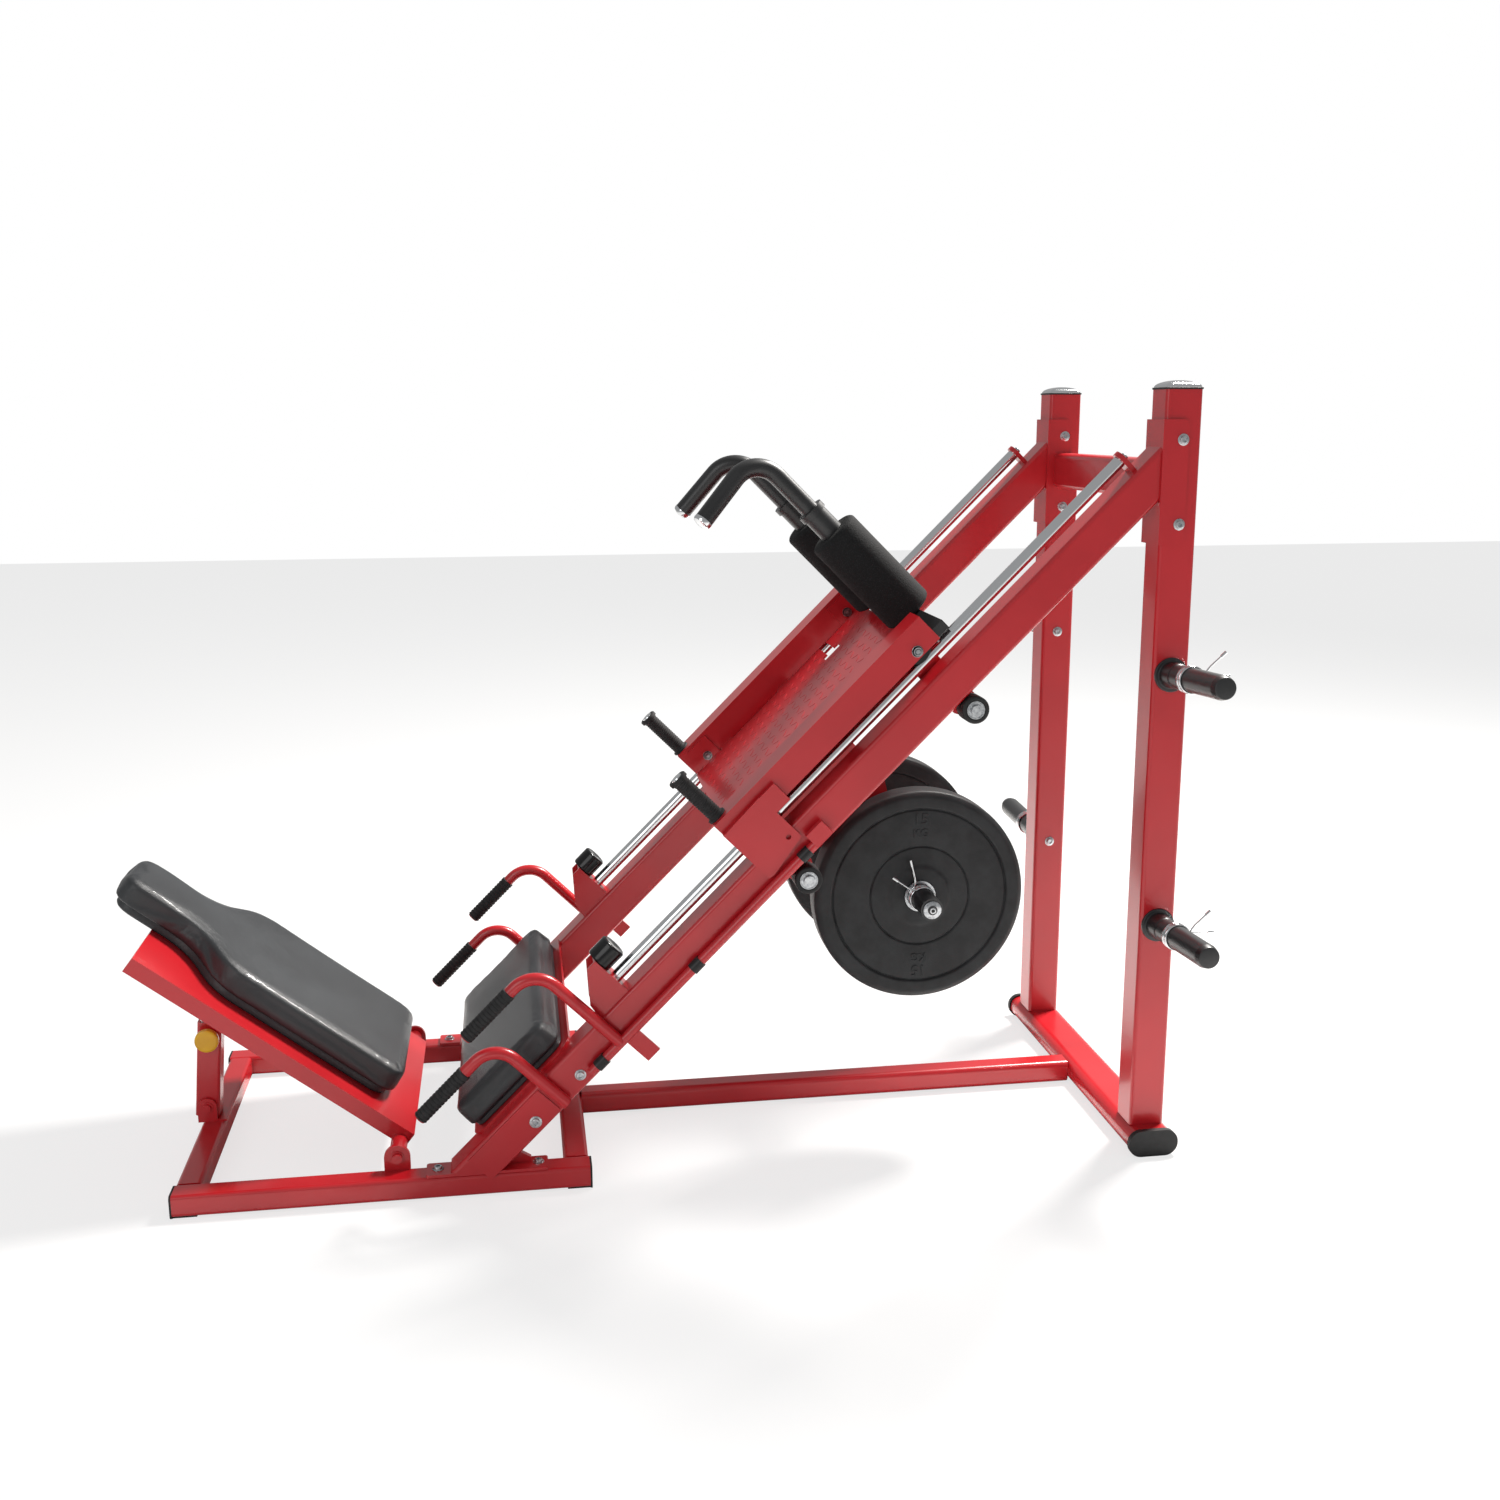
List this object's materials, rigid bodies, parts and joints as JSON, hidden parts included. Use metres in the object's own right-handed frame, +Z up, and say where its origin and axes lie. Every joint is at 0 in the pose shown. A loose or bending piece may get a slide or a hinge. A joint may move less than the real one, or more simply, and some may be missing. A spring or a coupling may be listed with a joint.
{
  "type": "hack squat machine",
  "caption": "Plate-loaded hack squat and leg press machine with an inclined roller sled, seat, reclining back pad and weight pegs.",
  "frame": {"origin": "floor under the middle of the machine's bounding box", "axes": "+X from the back pad towards the upright posts, +Y to the machine's far side, +Z up"},
  "size_m": [2.2108, 1.2426, 1.605],
  "materials": {
    "red_paint": "gloss",
    "black_paint": "satin",
    "chrome": "polished",
    "zinc": "satin",
    "rubber": "matte",
    "vinyl": "satin",
    "foam": "matte",
    "black_plastic": "satin",
    "yellow_plastic": "gloss"
  },
  "bodies": {
    "frame": {"base_tubes": "red_paint", "base_feet": "rubber", "base_cross_tubes": "red_paint", "center_beam": "red_paint", "rear_cross_base": "red_paint", "rear_end_caps": "rubber", "posts": "red_paint", "post_caps": "chrome", "upper_cross_brace": "red_paint", "rail_near": "red_paint", "rail_far": "red_paint", "rail_post_brackets": "red_paint", "rail_foot_plates": "red_paint", "guide_rods": "chrome", "rod_gussets": "red_paint", "bumpers": "rubber", "seat_plate": "red_paint", "seat_pad": "vinyl", "lower_handles": "red_paint", "lower_grips": "rubber", "storage_pegs": "black_paint", "storage_collars": "chrome", "backrest_ears": "red_paint", "strut_lug": "red_paint", "lever_bushings": "black_plastic", "frame_bolts": "zinc"},
    "backrest": {"backrest_frame": "red_paint", "backrest_pad": "vinyl"},
    "strut_outer": {"strut_outer": "red_paint"},
    "strut_inner": {"strut_inner": "chrome"},
    "pull_pin": {"pull_pin": "zinc", "pull_knob": "yellow_plastic"},
    "safety_lever_near": {"safety_lever_near": "red_paint", "lever_grip_near": "rubber"},
    "safety_lever_far": {"safety_lever_far": "red_paint", "lever_grip_far": "rubber"},
    "sled": {"sled_channels": "red_paint", "sled_cross_tubes": "red_paint", "tread_plate": "red_paint", "sled_cheeks": "red_paint", "roller_hangers": "red_paint", "sled_grips": "rubber", "shoulder_bar": "black_paint", "shoulder_handles": "chrome", "foam_rollers": "foam", "weight_hanger": "red_paint", "load_pegs": "black_paint", "sled_axles": "zinc"},
    "guide_roller_low_near": {"guide_roller_low_near": "black_plastic"},
    "under_roller_low_near": {"under_roller_low_near": "rubber"},
    "guide_roller_low_far": {"guide_roller_low_far": "black_plastic"},
    "under_roller_low_far": {"under_roller_low_far": "rubber"},
    "guide_roller_high_near": {"guide_roller_high_near": "black_plastic"},
    "under_roller_high_near": {"under_roller_high_near": "rubber"},
    "guide_roller_high_far": {"guide_roller_high_far": "black_plastic"},
    "under_roller_high_far": {"under_roller_high_far": "rubber"},
    "weight_plate_near": {"weight_plate_near": "rubber"},
    "load_collar_near": {"load_collar_near": "chrome"},
    "weight_plate_far": {"weight_plate_far": "rubber"},
    "load_collar_far": {"load_collar_far": "chrome"}
  },
  "joints": [
    {"name": "backrest_recline", "type": "hinge", "parent": "frame", "child": "backrest", "pos_m": [-0.5345, 0, 0.076], "axis": [0, 1, 0], "range_deg": [-5, 5]},
    {"name": "strut_tilt", "type": "hinge", "parent": "frame", "child": "strut_outer", "pos_m": [-0.9545, 0, 0.082], "axis": [0, 1, 0], "range_deg": [-5, 5]},
    {"name": "strut_extend", "type": "slide", "parent": "strut_outer", "child": "strut_inner", "axis": [0.086, 0, 0.9963], "range_m": [-0.038, 0.038]},
    {"name": "pin_pull", "type": "slide", "parent": "strut_outer", "child": "pull_pin", "axis": [0, -1, 0], "range_m": [0, 0.012], "stiffness_N_per_m": 500},
    {"name": "lever_turn_near", "type": "hinge", "parent": "frame", "child": "safety_lever_near", "pos_m": [0.09023, -0.3845, 0.49179], "axis": [0.7071, 0, 0.7071], "range_deg": [0, 25]},
    {"name": "lever_turn_far", "type": "hinge", "parent": "frame", "child": "safety_lever_far", "pos_m": [0.09023, 0.3845, 0.49179], "axis": [-0.7071, 0, -0.7071], "range_deg": [0, 25]},
    {"name": "sled_travel", "type": "slide", "parent": "frame", "child": "sled", "axis": [0.7071, 0, 0.7071], "range_m": [-0.31, 0.43]},
    {"name": "guide_spin_low_near", "type": "hinge", "parent": "sled", "child": "guide_roller_low_near", "pos_m": [0.17968, -0.333, 0.75165], "axis": [0, 1, 0], "continuous": true},
    {"name": "under_spin_low_near", "type": "hinge", "parent": "sled", "child": "under_roller_low_near", "pos_m": [0.29812, -0.353, 0.63321], "axis": [0, 1, 0], "continuous": true},
    {"name": "guide_spin_low_far", "type": "hinge", "parent": "sled", "child": "guide_roller_low_far", "pos_m": [0.17968, 0.333, 0.75165], "axis": [0, 1, 0], "continuous": true},
    {"name": "under_spin_low_far", "type": "hinge", "parent": "sled", "child": "under_roller_low_far", "pos_m": [0.29812, 0.353, 0.63321], "axis": [0, 1, 0], "continuous": true},
    {"name": "guide_spin_high_near", "type": "hinge", "parent": "sled", "child": "guide_roller_high_near", "pos_m": [0.51415, -0.333, 1.08612], "axis": [0, 1, 0], "continuous": true},
    {"name": "under_spin_high_near", "type": "hinge", "parent": "sled", "child": "under_roller_high_near", "pos_m": [0.63259, -0.353, 0.96768], "axis": [0, 1, 0], "continuous": true},
    {"name": "guide_spin_high_far", "type": "hinge", "parent": "sled", "child": "guide_roller_high_far", "pos_m": [0.51415, 0.333, 1.08612], "axis": [0, 1, 0], "continuous": true},
    {"name": "under_spin_high_far", "type": "hinge", "parent": "sled", "child": "under_roller_high_far", "pos_m": [0.63259, 0.353, 0.96768], "axis": [0, 1, 0], "continuous": true},
    {"name": "plate_spin_near", "type": "hinge", "parent": "sled", "child": "weight_plate_near", "pos_m": [0.57001, -0.1805, 0.53811], "axis": [0, 1, 0], "continuous": true},
    {"name": "collar_slide_near", "type": "slide", "parent": "sled", "child": "load_collar_near", "axis": [0, -1, 0], "range_m": [0, 0.06]},
    {"name": "plate_spin_far", "type": "hinge", "parent": "sled", "child": "weight_plate_far", "pos_m": [0.57001, 0.1805, 0.53811], "axis": [0, 1, 0], "continuous": true},
    {"name": "collar_slide_far", "type": "slide", "parent": "sled", "child": "load_collar_far", "axis": [0, 1, 0], "range_m": [0, 0.06]}
  ],
  "couplings": [
    {"joint": "strut_tilt", "follows": "backrest_recline", "ratio": 0.907},
    {"joint": "strut_extend", "follows": "backrest_recline", "m_per_rad": 0.4183},
    {"joint": "guide_spin_low_near", "follows": "sled_travel", "rad_per_m": 48.781},
    {"joint": "guide_spin_low_far", "follows": "sled_travel", "rad_per_m": 48.781},
    {"joint": "guide_spin_high_near", "follows": "sled_travel", "rad_per_m": 48.781},
    {"joint": "guide_spin_high_far", "follows": "sled_travel", "rad_per_m": 48.781}
  ]
}
